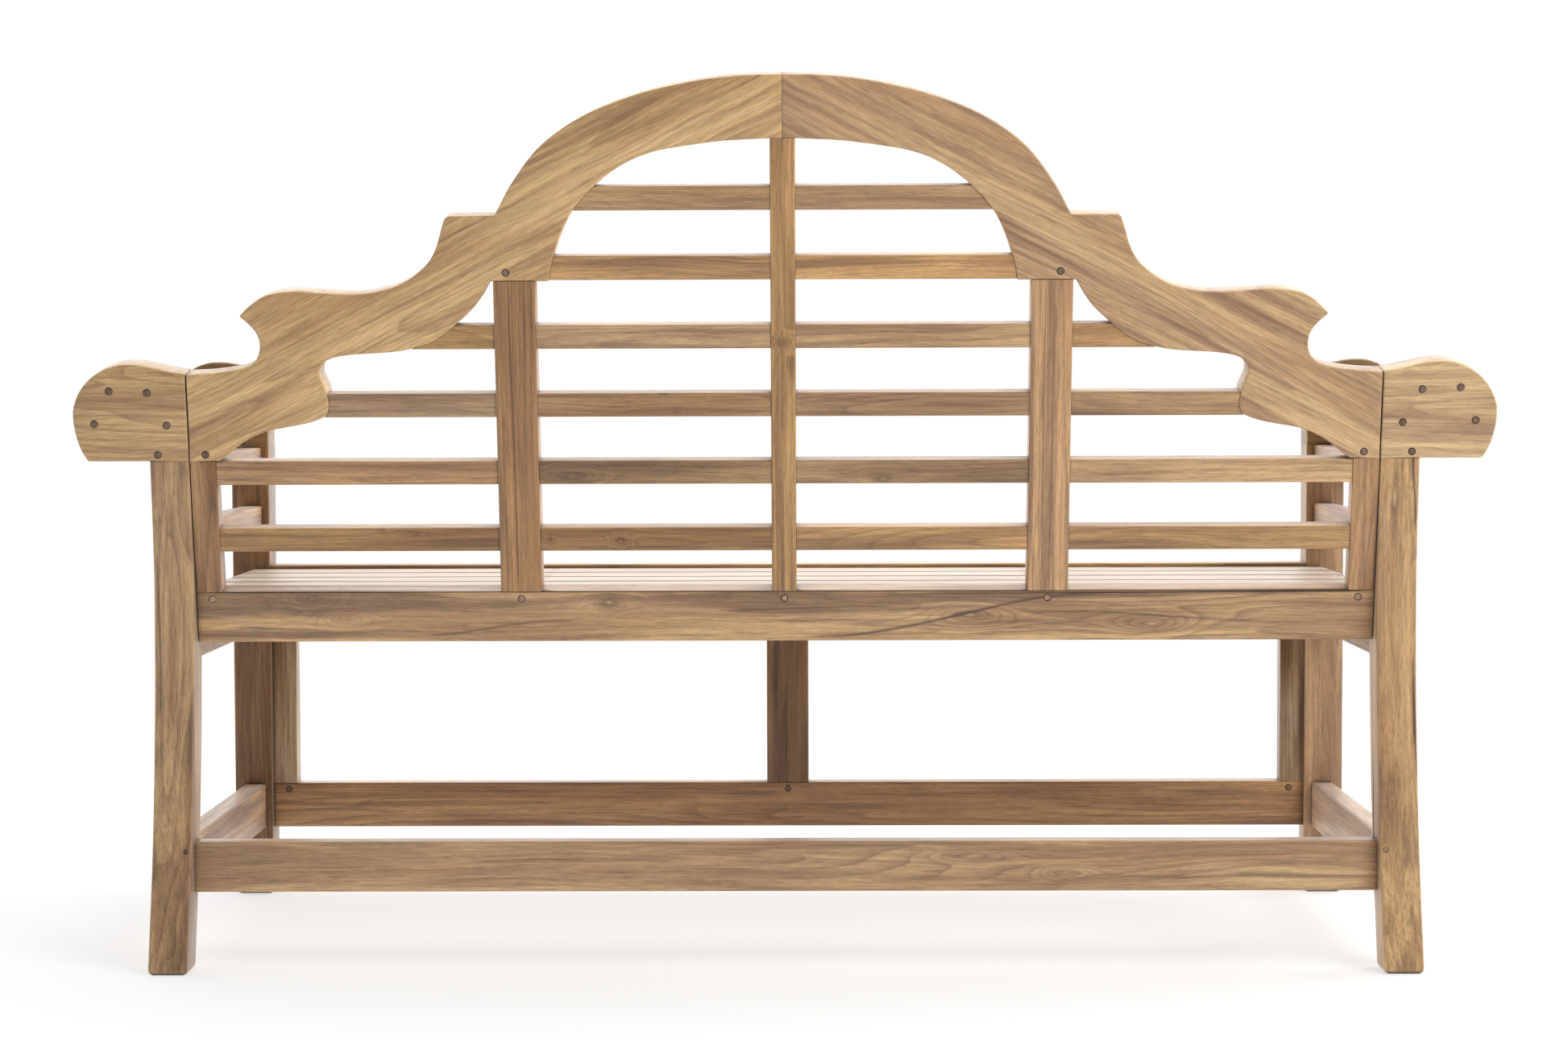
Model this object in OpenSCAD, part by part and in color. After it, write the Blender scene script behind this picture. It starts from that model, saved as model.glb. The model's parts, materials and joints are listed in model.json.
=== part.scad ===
// Garden bench in the Lutyens manner, in solid teak.
// +Z is up, the sitter faces -Y, and +X is the sitter's left. The origin is on the ground, under the middle.
// The back is a frame of its own that leans between two side frames. All joints are mortise and tenon,
// held by pegs and dowels, and bolts with barrel nuts draw the frames together.

/* [Overall] */
// Width over the arm blocks
bench_w = 1650; // [1500:10:1900]
// Height of the seat rails above the ground
seat_h = 440; // [400:5:480]
// Depth from the rear face of the back, at the seat, to the front of the front legs
frame_d = 518; // [470:2:600]

/* [Back] */
// Lean of the back from upright, in degrees
back_lean = 10; // [5:0.5:14]
// Height of the crest above the seat rails, along the back
back_rise = 601; // [560:1:660]
// Thickness of the back frame
back_t = 38; // [34:1:40]
// Height of one back slat
slat_h = 28; // [24:1:34]
// Thickness of the back slats
slat_t = 24; // [16:1:26]
// Height of the bottom rail of the back
rail_h = 60; // [50:1:70]

/* [Legs and arms] */
// Width of the rear legs
rear_leg_w = 46; // [44:1:56]
// Width of the front legs
front_leg_w = 49.5; // [44:0.5:60]
// Depth of all four legs, front to back
leg_d = 48; // [46:1:54]
// Thickness of the rear arm blocks; the front ones are as thick as the legs
block_t = 40; // [34:1:44]
// Height of an arm block
block_h = 114.2; // [100:0.2:125]
// Rise of the arms from the back to the front
arm_rise = 5.5; // [0:0.5:8]

/* [Seat] */
// Thickness of the seat slats
seat_slat_t = 20; // [18:1:24]
// Gap between seat slats
seat_gap = 6; // [4:0.5:12]

/* [Fasteners] */
// Diameter of the wooden pegs and dowels
peg_d = 9; // [8:0.5:10]
// Diameter of the frame bolts
bolt_d = 8; // [6:1:8]

/* [Hidden] */
$fn = 32;

// Room around each tenon and around each peg, dowel and bolt
fit = 0.15;
bore_fit = 0.1;

// Plan: the arm blocks overhang the legs by a fixed amount, and a thin gap parts the back from the legs
block_w = 133;
frame_gap = 1;
leg_x = bench_w / 2 - block_w;
back_hw = leg_x - frame_gap;

// Depth: the crest is the rearmost point, the front legs are the foremost
overall_d = frame_d + back_rise * sin(back_lean);
front_y = -overall_d / 2;
rail_y = front_y + frame_d;
front_leg_y = front_y + leg_d;

// The back's outline was drawn for a half width of 691 and a rise of 600, and stretches with the bench
kx = back_hw / 691;
ks = back_rise / 600;

// Back slats: six rows, numbered upwards from 0, a constant pitch apart
row_pitch = 79.6 * ks;
first_row = 48.5 * ks;
function row_s(i) = first_row + i * row_pitch;
slat_inset = 1.5;
slat_mid = -slat_inset - slat_t / 2;
slat_tenon = [12, 8, 18];

// The arms, the stiles and the crest's ends meet on one line along the back
arm_s = 156.8 * ks;
arm_z = seat_h + arm_s * cos(back_lean);
front_arm_z = arm_z + arm_rise;

// Back uprights
post_x = [285 * kx, 285 * kx + 47.5];
post_top = 366 * ks;
stile_x = [back_hw - 30, back_hw];
stile_t = 26;
muntin_x = [-14.5, 14.5];
muntin_top = 528 * ks;
upright_tenon_t = 10;
upright_tenon_l = 26;

// Side rails: heights of the lower and upper edges, and their places across the leg
stretcher_z = [89.5, 148.5];
side_rail_z = [seat_h - 79, seat_h - 2 - seat_slat_t];
arm_rail_low_z = [front_arm_z - 109, front_arm_z - 78];
arm_rail_top_z = [front_arm_z - 31, front_arm_z];
side_rail_x = [leg_x + 2, leg_x + 40];
side_stretcher_x = [leg_x + 9, leg_x + 37];
arm_rail_x = [leg_x + 10, leg_x + 37];
side_tenon_x = [leg_x + 15, leg_x + 27];

// Tenons of the side rails: height range, and length into the rear and the front leg
side_tenons = [
    [[118, 143], 14, 24, side_stretcher_x],
    [[side_rail_z[0] + 4, side_rail_z[0] + 35], 24, 24, side_rail_x],
    [[arm_rail_low_z[0] + 4, arm_rail_low_z[1] - 4], 24, 24, arm_rail_x],
    [[arm_rail_top_z[0] + 4, arm_rail_top_z[1] - 10], 24, 24, arm_rail_x],
];

// Front frame: a seat rail and a stretcher joined by three posts
front_rail_t = 36;
front_t = 26;
front_rail_y = [front_y + 10, front_y + 10 + front_rail_t];
front_frame_y = [front_y + 10, front_y + 10 + front_t];
front_mid_y = front_y + 10 + front_t / 2;
front_rail_z = [seat_h - 59, seat_h + 3];
front_post_w = 32;
front_center_w = 56;

// Rear stretcher, set in from the rear faces of the legs
rear_stretcher_back = 26;
rear_stretcher_t = 30;

// Seat: five equal slats between the back rail and the front rail
slat_count = 5;
seat_top = seat_h - 2;
seat_back_y = rail_y - back_t - 5.2;
seat_front_y = front_leg_y + 1.5;
seat_slat_w = (seat_back_y - seat_front_y - (slat_count - 1) * seat_gap) / slat_count;
seat_hw = leg_x + 20;
bearer_x = 307 * kx;
bearer_w = 36;
bearer_z = [seat_h - 54, side_rail_z[1]];

// Dowels, pegs, bolts and screws
dowel_l = 70;
stave_bore = 31;
peg_drop = 8.5;
side_peg_l = 37;
bolt_reach = 40;
bolt_head_d = 12.5;
bolt_head_h = 8;
stile_bolt_reach = 16;
front_bolt_reach = 50;
counterbore_d = 14;
counterbore_l = 10;
nut_d = 12;
nut_l = 22;
stile_nut_l = 16;
stile_bolt_s = 104;
rail_bolt_s = -38;
rail_bolt_y = -13;
screw_d = 5;
screw_head_d = 8.5;
plug_d = 10;
plug_l = 8;

// Colours of the timber and the steel
honey = "#b9925f";
tan_teak = "#ad8660";
brown_teak = "#9c7453";
pale_teak = "#d3ab80";
dark_teak = "#7a5a44";
steel = "#b9bcc0";

// ---------- curves ----------

// A smooth curve through hand-chosen points: n steps from each point to the next, without the last point
function blend(a, b, c, d, t) =
    0.5 * (2 * b + (c - a) * t + (2 * a - 5 * b + 4 * c - d) * t * t + (3 * b - a - 3 * c + d) * t * t * t);
function before(p, i) = i > 0 ? p[i - 1] : 2 * p[0] - p[1];
function after(p, i) = i < len(p) - 2 ? p[i + 2] : 2 * p[i + 1] - p[i];
function curve(p, n) =
    [for (i = [0:len(p) - 2], k = [0:n - 1]) blend(before(p, i), p[i], p[i + 1], after(p, i), k / n)];

// Places on the back are [across, along the back], stretched with the bench
function on_outline(p) = [for (q = p) [q[0] * kx, q[1] * ks]];

// Crest, from the top of the arch outwards: arch, step, scroll with its tip, and the dip to the arm
crest_arch = [[0, 600], [52, 598.5], [104, 592], [163, 578.5], [223, 555.5], [273.5, 521.8], [307, 480.5],
    [329, 441.5]];
crest_scroll = [[386, 438.5], [389.5, 429], [399, 400], [413, 381], [437, 364.2], [464, 355.3], [492, 351.8],
    [530, 353.2], [562, 355.3], [593, 351], [612, 340], [626.5, 326.5]];
crest_notch = [[626.5, 326.5], [615, 316.5], [607, 306], [604, 295.5], [605, 284], [611, 273.5], [624, 266.5],
    [643, 262.7], [666, 260], [691, 259]];

// Underside of the crest, from its end inwards: hook over the arm, notch, shoulder above the post, arch
crest_hook = [[657, 156.8], [646, 164.5], [634.5, 174.3], [621, 183], [607, 189.5], [594, 193.5], [569, 198],
    [550, 202], [535, 207.5], [528.5, 213], [526.5, 223], [528.5, 238], [532, 248], [535.5, 258],
    [534.5, 267], [528, 274.5]];
crest_belly = [[528, 274.5], [517, 278.5], [497, 281.5], [472, 283], [446, 285], [420, 290.5], [398, 299.5],
    [374, 318.5], [352, 340], [336, 366]];
crest_inner_arch = [[268, 366], [266, 381], [261, 400], [252, 424], [238, 449], [213, 476], [188, 495],
    [166, 506.5], [145, 513.5], [122, 518], [70, 525], [14.5, 528]];

function crest_outline() = on_outline(concat(
    curve(crest_arch, 6), [[329, 441.5], [382, 441]], curve(crest_scroll, 4), curve(crest_notch, 4),
    [[691, 259], [691, arm_s / ks]], curve(crest_hook, 4), curve(crest_belly, 4), [[336, 366]],
    curve(crest_inner_arch, 5), [[14.5, 528], [0, 528]]));

// Arm block: a roll that rises from the seam beside the crest and falls round to its flat underside
block_roll = [[0, 103.4], [12, 104.7], [25, 107.3], [39, 110.8], [52, 113.3], [65, 114.2], [80, 113], [97, 107],
    [112, 96.5], [124, 82], [131, 66], [132.8, 54], [131.5, 36], [126, 15], [118, 0]];
function block_outline() =
    [for (q = concat([[0, 0]], curve(block_roll, 4), [[118, 0]])) [leg_x + q[0], q[1] * block_h / 114.2]];

// Rear leg: how far its rear face stands behind the rear face of the back at the seat, at each height
arm_back = arm_s * sin(back_lean);
foot_back = 75;
leg_line = [[foot_back, 0], [40, 0.34 * seat_h], [20, 0.68 * seat_h], [14, seat_h - 10],
    [(14 + arm_back) / 2 - 2.5, (seat_h - 10 + arm_z) / 2], [arm_back, arm_z]];
leg_back_table = [for (q = curve(leg_line, 6)) [q[1], q[0]]];
function leg_back(z) = lookup(z, leg_back_table);
foot_y = rail_y + foot_back;
foot_bevel = 4;

// ---------- placing ----------

// The tilted frame of the back: x across, z along the back from the seat rails, y = 0 on the rear face
module on_back() {
    translate([0, rail_y, seat_h]) rotate([-back_lean, 0, 0]) children();
}

// A flat outline across the bench, t thick, with its rear face at y
module board(t, y = 0) {
    translate([0, y, 0]) rotate([90, 0, 0]) linear_extrude(t) children();
}

// A flat outline seen from the side, given as [y, z], from x[0] to x[1]
module side_board(x) {
    translate([x[0], 0, 0]) rotate([90, 0, 90]) linear_extrude(x[1] - x[0]) children();
}

// A box from its low and high values along each axis, grown by g
module box(x, y, z, g = 0) {
    size = [x[1] - x[0], y[1] - y[0], z[1] - z[0]];
    translate([x[0] - g, y[0] - g, z[0] - g]) cube(size + 2 * g * [1, 1, 1]);
}

// The sitter's left side is drawn; the right side is its mirror image
module hand(side) {
    mirror([side < 0 ? 1 : 0, 0, 0]) children();
}

module rod_y(d, y, x, z) {
    translate([x, y[1], z]) rotate([90, 0, 0]) cylinder(d = d, h = y[1] - y[0]);
}

module rod_x(d, x, y, z) {
    translate([x[0], y, z]) rotate([0, 90, 0]) cylinder(d = d, h = x[1] - x[0]);
}

// ---------- pegs, dowels and bolts: each place is named once, for the peg and for its bore ----------

// Pegs of the back, in the tilted frame, as [x, along the back, thickness of the member]
stile_peg_x = (stile_x[0] + stile_x[1]) / 2 - 3.5;
arm_peg_x = leg_x + 36;
arm_peg_rise = 8;
post_mid = (post_x[0] + post_x[1]) / 2;
back_pegs = [
    [stile_peg_x, -peg_drop, back_t], [post_mid, -peg_drop, back_t], [stile_peg_x, arm_s + arm_peg_rise, back_t],
    [post_mid + 9, post_top + 10, back_t], [arm_peg_x, arm_s + arm_peg_rise, block_t],
];
center_peg = [0, -peg_drop, back_t];

// Pegs of the front frame and of the front arm blocks, as [x, height]
front_post_x = [leg_x - front_post_w, leg_x];
front_peg_x = (front_post_x[0] + front_post_x[1]) / 2 - 4;
front_peg_z = [stretcher_z[1] - peg_drop, front_rail_z[0] + peg_drop];

// Pins of the rear stretcher, through the rear face of each leg
pin_d = 6;
pin_x = leg_x + 6.5;
pin_z = stretcher_z[1] - peg_drop;
pin_back = [10.5, leg_back(stretcher_z[1] - peg_drop)];

// Dowels of the arm staves, as [x, height above the arm line, roll of the stave]; the staves fall to the back
staves = [[leg_x + 24, 42, -68], [leg_x + 45, 80, -10], [leg_x + 89, 82, 20], [leg_x + 108, 44, 70]];
stave_w = 36;
stave_t = 20;
stave_slope = atan(arm_rise / (rail_y - front_leg_y));

module back_peg(p, d, over = 0) {
    rod_y(d, [-p[2] - over, over], p[0], p[1]);
}

module side_pegs(d, over = 0) {
    for (t = side_tenons) {
        z = (t[0][0] + t[0][1]) / 2;
        rod_x(d, [leg_x + rear_leg_w - side_peg_l, leg_x + rear_leg_w + over],
            rail_y + leg_back(z) - leg_d + t[1] / 2, z);
        rod_x(d, [leg_x + front_leg_w - side_peg_l, leg_x + front_leg_w + over], front_leg_y - t[2] / 2, z);
    }
}

module stretcher_pin(d, over = 0) {
    rod_y(d, [rail_y + pin_back[0], rail_y + pin_back[1] + over], pin_x, pin_z);
}

// The rear dowels end flush with the tilted rear face of the block; the front ones with the front face
module rear_arm_dowels(d, over = 0) {
    for (s = staves) intersection() {
        rod_y(d, [stave_rear_y(s) - stave_bore, rail_y + 90], s[0], arm_z + s[1]);
        on_back() translate([0, -250 + over, -100]) cube([1000, 250, 700]);
    }
}

module front_arm_dowels(d, over = 0) {
    for (s = staves) rod_y(d, [front_y - over, front_leg_y + stave_bore - 1], s[0], front_arm_z + s[1]);
}

// Where the middle of a stave meets the tilted front face of the rear block
function stave_rear_y(s) = rail_y + s[1] * tan(back_lean) + arm_s * sin(back_lean) - block_t / cos(back_lean);

module crest_dowels(d, over = 0) {
    for (s = [556, 582]) rod_x(d, [-dowel_l / 2 - over, dowel_l / 2 + over], -back_t / 2, s * ks);
}

// One bolt runs inwards from the outer face of a leg to a barrel nut beyond the shoulder. Its place is
// [leg width, y, z, reach of the nut inside the shoulder]; the first two come from the tilted back
function back_point(y, s) =
    [rail_y + s * sin(back_lean) + y * cos(back_lean), seat_h + s * cos(back_lean) - y * sin(back_lean)];
rail_bolt = back_point(rail_bolt_y, rail_bolt_s);
stile_bolt = back_point(-stile_t / 2, stile_bolt_s);
bolts = [
    [rear_leg_w, rail_bolt[0], rail_bolt[1], bolt_reach],
    [rear_leg_w, stile_bolt[0], stile_bolt[1], stile_bolt_reach],
    [front_leg_w, front_mid_y, seat_h - 20, front_bolt_reach],
    [front_leg_w, front_mid_y, stretcher_z[0] + 14, front_bolt_reach],
];

// ---------- back ----------

module crest_rail(side) {
    color(honey) hand(side) on_back() difference() {
        board(back_t) polygon(crest_outline());
        post_tenons(fit);
        stile_tenons(fit);
        muntin_tenon(fit);
        for (i = [2:5]) outer_slat_tenon(i, fit);
        back_peg(back_pegs[2], peg_d + bore_fit, 1);
        back_peg(back_pegs[3], peg_d + bore_fit, 1);
        crest_dowels(peg_d + bore_fit, 1);
    }
}

module upright_tenon(x, s, g = 0) {
    mid = -back_t / 2;
    box(x, [mid - upright_tenon_t / 2, mid + upright_tenon_t / 2], s, g);
}

module post_tenons(g = 0) {
    x = [post_x[0] + 7, post_x[1] - 7];
    upright_tenon(x, [-upright_tenon_l, 0], g);
    upright_tenon(x, [post_top, post_top + upright_tenon_l], g);
}

module stile_tenons(g = 0) {
    x = [stile_x[0] + 6, stile_x[1] - 6];
    upright_tenon(x, [-upright_tenon_l, 0], g);
    upright_tenon(x, [arm_s, arm_s + upright_tenon_l], g);
}

module muntin_tenon(g = 0) {
    x = [muntin_x[0] + 5, muntin_x[1] - 5];
    upright_tenon(x, [-upright_tenon_l, 0], g);
    upright_tenon(x, [muntin_top, muntin_top + 16], g);
}

module back_post(side) {
    color(brown_teak) hand(side) on_back() difference() {
        union() {
            box(post_x, [-back_t, 0], [0, post_top]);
            post_tenons();
        }
        for (i = [0:3]) inner_slat_tenons(i, fit);
        for (i = [0:3]) outer_slat_tenon_at_post(i, fit);
        back_peg(back_pegs[1], peg_d + bore_fit, 1);
        back_peg(back_pegs[3], peg_d + bore_fit, 1);
    }
}

module back_stile(side) {
    color(brown_teak) hand(side) on_back() difference() {
        union() {
            box(stile_x, [-stile_t, 0], [0, arm_s]);
            stile_tenons();
        }
        for (i = [0:1]) outer_slat_tenon(i, fit);
        back_peg(back_pegs[0], peg_d + bore_fit, 1);
        back_peg(back_pegs[2], peg_d + bore_fit, 1);
        stile_bolt_bores();
    }
}

module back_muntin() {
    color(tan_teak) on_back() difference() {
        union() {
            box(muntin_x, [-back_t, 0], [0, muntin_top]);
            muntin_tenon();
        }
        for (side = [-1, 1], i = [0:5]) hand(side) inner_slat_tenons(i, fit);
        back_peg(center_peg, peg_d + bore_fit, 1);
    }
}

module back_bottom_rail() {
    color(tan_teak) difference() {
        on_back() difference() {
            box([-back_hw, back_hw], [-back_t, 0], [-rail_h, 0]);
            muntin_tenon(fit);
            back_peg(center_peg, peg_d + bore_fit, 1);
            for (side = [-1, 1]) hand(side) {
                post_tenons(fit);
                stile_tenons(fit);
                back_peg(back_pegs[0], peg_d + bore_fit, 1);
                back_peg(back_pegs[1], peg_d + bore_fit, 1);
                rail_bolt_bores();
            }
        }
        bearer_tenons(fit);
    }
}

// Bores in the back for the bolts and their barrel nuts, in the tilted frame
module rail_bolt_bores() {
    x = back_hw - bolt_reach;
    rod_x(bolt_d + 0.6, [x - 12, back_hw + 1], rail_bolt_y, rail_bolt_s);
    depth = rail_h + rail_bolt_s + nut_l / 2;
    translate([x, rail_bolt_y, -rail_h - 1]) cylinder(d = nut_d + bore_fit, h = depth + 1);
}

module stile_bolt_bores() {
    x = leg_x - stile_bolt_reach;
    rod_x(bolt_d + 0.6, [x - 9, back_hw + 1], -stile_t / 2, stile_bolt_s);
    rod_y(nut_d + bore_fit, [-stile_t - 1, -(stile_t - stile_nut_l) / 2], x, stile_bolt_s);
}

// ---------- back slats ----------

// Reach of the outer end of each row, and the place of its tenon
outer_reach = [stile_x[0], stile_x[0], 532 * kx, 428 * kx, 268 * kx, 240 * kx];
outer_tenon_x = [
    [stile_x[0] - 2, stile_x[0] + 12], [stile_x[0] - 2, stile_x[0] + 12], [520 * kx, 548 * kx],
    [376 * kx, 436 * kx], [256 * kx, 282 * kx], [206 * kx, 250 * kx],
];
function tenon_s(i) = [row_s(i) + (slat_h - slat_tenon[2]) / 2, row_s(i) + (slat_h + slat_tenon[2]) / 2];
tenon_y = [slat_mid - slat_tenon[1] / 2, slat_mid + slat_tenon[1] / 2];

module outer_slat_tenon(i, g = 0) {
    box(outer_tenon_x[i], tenon_y, tenon_s(i), g);
}

module outer_slat_tenon_at_post(i, g = 0) {
    box([post_x[1] - slat_tenon[0], post_x[1] + 2], tenon_y, tenon_s(i), g);
}

// Tenons of the segment beside the muntin: into the muntin, and into the post on the four lower rows
module inner_slat_tenons(i, g = 0) {
    box([muntin_x[1] - slat_tenon[0] + 1, muntin_x[1] + 2], tenon_y, tenon_s(i), g);
    if (i < 4) box([post_x[0] - 2, post_x[0] + slat_tenon[0]], tenon_y, tenon_s(i), g);
}

module slat_body(x, i) {
    box(x, [-slat_inset - slat_t, -slat_inset], [row_s(i), row_s(i) + slat_h]);
}

// A slat whose outer end is scribed to the curve of the crest
module scribed_slat(x0, i) {
    difference() {
        slat_body([x0, outer_reach[i]], i);
        board(back_t + 2, 1) polygon(crest_outline());
    }
}

module inner_slat(i, side) {
    color(tan_teak) hand(side) on_back() {
        slat_body([muntin_x[1], post_x[0]], i);
        inner_slat_tenons(i);
    }
}

module outer_slat(i, side) {
    color(tan_teak) hand(side) on_back() {
        if (i == 0) slat_body([post_x[1], outer_reach[i]], i);
        if (i > 0) scribed_slat(post_x[1], i);
        outer_slat_tenon_at_post(i);
        outer_slat_tenon(i);
    }
}

// The two upper rows run from the muntin straight to the arch
module arch_slats(i) {
    color(tan_teak) for (side = [-1, 1]) hand(side) on_back() {
        scribed_slat(muntin_x[1], i);
        box([muntin_x[1] - slat_tenon[0] + 1, muntin_x[1] + 2], tenon_y, tenon_s(i));
        outer_slat_tenon(i);
    }
}

// ---------- legs ----------

// Side view of the rear leg, as [y, z]: a cranked board whose top is cut square to the back
function rear_leg_rear() = [for (q = concat(curve(leg_line, 6), [[arm_back, arm_z]])) [rail_y + q[0], q[1]]];
function rear_leg_profile() = concat(
    [[foot_y - leg_d + foot_bevel, 0], [foot_y - foot_bevel, 0], [foot_y - 1, foot_bevel]],
    [for (q = rear_leg_rear()) if (q[1] > foot_bevel) q],
    [[rail_y + arm_back - leg_d, arm_z + leg_d * tan(back_lean)]],
    [for (k = [len(rear_leg_rear()) - 1:-1:1]) [rear_leg_rear()[k][0] - leg_d, rear_leg_rear()[k][1]]],
    [[foot_y - 0.8 - leg_d, foot_bevel]]);

// The two long bevels under a foot, along its sides
module side_foot_bevels(w) {
    for (x = [leg_x, leg_x + w]) {
        translate([x, 0, 0]) rotate([90, 0, 0]) linear_extrude(1500, center = true)
            polygon([[-foot_bevel, 0], [0, foot_bevel], [foot_bevel, 0], [0, -foot_bevel]]);
    }
}

module rear_leg_blank() {
    side_board([leg_x, leg_x + rear_leg_w]) polygon(rear_leg_profile());
}

// Tenon on top of a leg, in the frame of its arm block
arm_tenon_x = [leg_x + 14, leg_x + 40];
module rear_arm_tenon(g = 0) {
    on_back() box(arm_tenon_x, [-27, -13], [arm_s - 1, arm_s + 27], g);
}

module front_arm_tenon(g = 0) {
    box(arm_tenon_x, [front_y + 17, front_y + 31], [front_arm_z - 1, front_arm_z + 27], g);
}

// All tenons of the side rails at both ends
module side_rail_tenons(list, g = 0) {
    for (t = list) {
        z = (t[0][0] + t[0][1]) / 2;
        rear_face = rail_y + leg_back(z) - leg_d;
        box(side_tenon_x, [rear_face - 6, rear_face + t[1]], t[0], g);
        box(side_tenon_x, [front_leg_y - t[2], front_leg_y + 6], t[0], g);
    }
}

module rear_stretcher_tenon(g = 0) {
    y = rail_y + rear_stretcher_back - rear_stretcher_t / 2;
    box([leg_x - 6, leg_x + 25], [y - 6, y + 6], [stretcher_z[0] + 5, stretcher_z[1] - 5], g);
}

// Bores of one bolt through a leg: the shank hole and the counterbore for its head
module leg_bolt_bores(b) {
    rod_x(bolt_d + 0.6, [leg_x - 1, leg_x + b[0] + 1], b[1], b[2]);
    rod_x(counterbore_d, [leg_x + b[0] - counterbore_l, leg_x + b[0] + 1], b[1], b[2]);
}

module rear_leg(side) {
    color(tan_teak) hand(side) difference() {
        union() {
            rear_leg_blank();
            rear_arm_tenon();
        }
        side_foot_bevels(rear_leg_w);
        side_rail_tenons(side_tenons, fit);
        rear_stretcher_tenon(fit);
        side_pegs(peg_d + bore_fit, 1);
        stretcher_pin(pin_d + bore_fit, 1);
        on_back() back_peg(back_pegs[4], peg_d + bore_fit, 1);
        leg_bolt_bores(bolts[0]);
        leg_bolt_bores(bolts[1]);
    }
}

module front_leg(side) {
    y0 = front_y;
    y1 = front_leg_y;
    c = foot_bevel;
    color(brown_teak) hand(side) difference() {
        union() {
            side_board([leg_x, leg_x + front_leg_w])
                polygon([[y0 + c, 0], [y1 - c, 0], [y1, c], [y1, front_arm_z], [y0, front_arm_z], [y0, c]]);
            front_arm_tenon();
        }
        side_foot_bevels(front_leg_w);
        side_rail_tenons(side_tenons, fit);
        side_pegs(peg_d + bore_fit, 1);
        rod_y(peg_d + bore_fit, [front_y - 1, front_leg_y + 1], arm_peg_x, front_arm_z + arm_peg_rise);
        leg_bolt_bores(bolts[2]);
        leg_bolt_bores(bolts[3]);
    }
}

// ---------- arms ----------

module rear_arm_block(side) {
    color(honey) hand(side) difference() {
        on_back() translate([0, 0, arm_s]) board(block_t) polygon(block_outline());
        rear_arm_tenon(fit);
        on_back() back_peg(back_pegs[4], peg_d + bore_fit, 1);
        rear_arm_dowels(peg_d + bore_fit, 1);
    }
}

module front_arm_block(side) {
    color(honey) hand(side) difference() {
        translate([0, 0, front_arm_z]) board(leg_d, front_leg_y) polygon(block_outline());
        front_arm_tenon(fit);
        rod_y(peg_d + bore_fit, [front_y - 1, front_leg_y + 1], arm_peg_x, front_arm_z + arm_peg_rise);
        front_arm_dowels(peg_d + bore_fit, 1);
    }
}

// Four staves make the roll of the arm; each is bored at both ends for a dowel
module arm_staves(side) {
    color(tan_teak) hand(side) difference() {
        for (s = staves) translate([s[0], front_leg_y, front_arm_z + s[1]])
            rotate([-stave_slope, 0, 0]) rotate([0, s[2], 0])
                translate([-stave_w / 2, -1, -stave_t / 2]) cube([stave_w, frame_d, stave_t]);
        on_back() translate([0, -block_t, -100]) cube([1000, 400, 700]);
        translate([0, front_y, 0]) cube([1000, leg_d, 1000]);
        rear_arm_dowels(peg_d + bore_fit);
        front_arm_dowels(peg_d + bore_fit);
    }
}

// ---------- side frames ----------

// A rail between the legs: its rear shoulder follows the cranked leg
module side_rail(z, t) {
    difference() {
        box(t[3], [front_leg_y, rail_y + 20], z);
        translate([-5, 0, 0]) side_board([leg_x, leg_x + rear_leg_w + 10]) polygon(rear_leg_profile());
        translate([0, rail_y + leg_back(z[0]) - leg_d, z[0] - 1]) cube([1000, 200, 100]);
    }
    side_rail_tenons([t]);
}

module side_stretcher(side) {
    color(brown_teak) hand(side) side_rail(stretcher_z, side_tenons[0]);
}

module side_seat_rail(side) {
    color(tan_teak) hand(side) difference() {
        side_rail(side_rail_z, side_tenons[1]);
        seat_screw_bores();
    }
}

module arm_rails(side) {
    color(brown_teak) hand(side) {
        side_rail(arm_rail_low_z, side_tenons[2]);
        side_rail(arm_rail_top_z, side_tenons[3]);
    }
}

module rear_stretcher() {
    color(tan_teak) difference() {
        union() {
            y = rail_y + rear_stretcher_back;
            box([-leg_x, leg_x], [y - rear_stretcher_t, y], stretcher_z);
            for (side = [-1, 1]) hand(side) rear_stretcher_tenon();
        }
        for (side = [-1, 1]) hand(side) stretcher_pin(pin_d + bore_fit, 1);
    }
}

// ---------- front frame ----------

module front_tenon(x, z, g = 0) {
    box(x, [front_mid_y - 6, front_mid_y + 6], z, g);
}

module front_post_tenons(x, g = 0) {
    inner = [x[0] + 5, x[1] - 5];
    front_tenon(inner, [stretcher_z[1] - upright_tenon_l, stretcher_z[1]], g);
    front_tenon(inner, [front_rail_z[0], front_rail_z[0] + upright_tenon_l], g);
}

module front_pegs(d, over = 0) {
    for (x = [-front_peg_x, 0, front_peg_x]) {
        rod_y(d, [front_frame_y[0] - over, front_frame_y[1] + over], x, front_peg_z[0]);
        rod_y(d, [front_rail_y[0] - over, front_rail_y[1] + over], x, front_peg_z[1]);
    }
}

front_center_x = [-front_center_w / 2, front_center_w / 2];

module front_post(x) {
    color(brown_teak) difference() {
        union() {
            box(x, front_frame_y, [stretcher_z[1], front_rail_z[0]]);
            front_post_tenons(x);
        }
        front_pegs(peg_d + bore_fit, 1);
    }
}

// Bores for a bolt and its barrel nut, which goes in from below
module front_bolt_bores(b, z0) {
    rod_x(bolt_d + 0.6, [leg_x - b[3] - 12, leg_x + 1], b[1], b[2]);
    translate([leg_x - b[3], b[1], z0 - 1]) cylinder(d = nut_d + bore_fit, h = b[2] - z0 + 1 + nut_l / 2);
}

module front_rail_blank(y, z, b) {
    difference() {
        box([-leg_x, leg_x], y, z);
        front_post_tenons(front_center_x, fit);
        front_pegs(peg_d + bore_fit, 1);
        for (side = [-1, 1]) hand(side) {
            front_post_tenons(front_post_x, fit);
            front_bolt_bores(b, z[0]);
        }
    }
}

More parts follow.
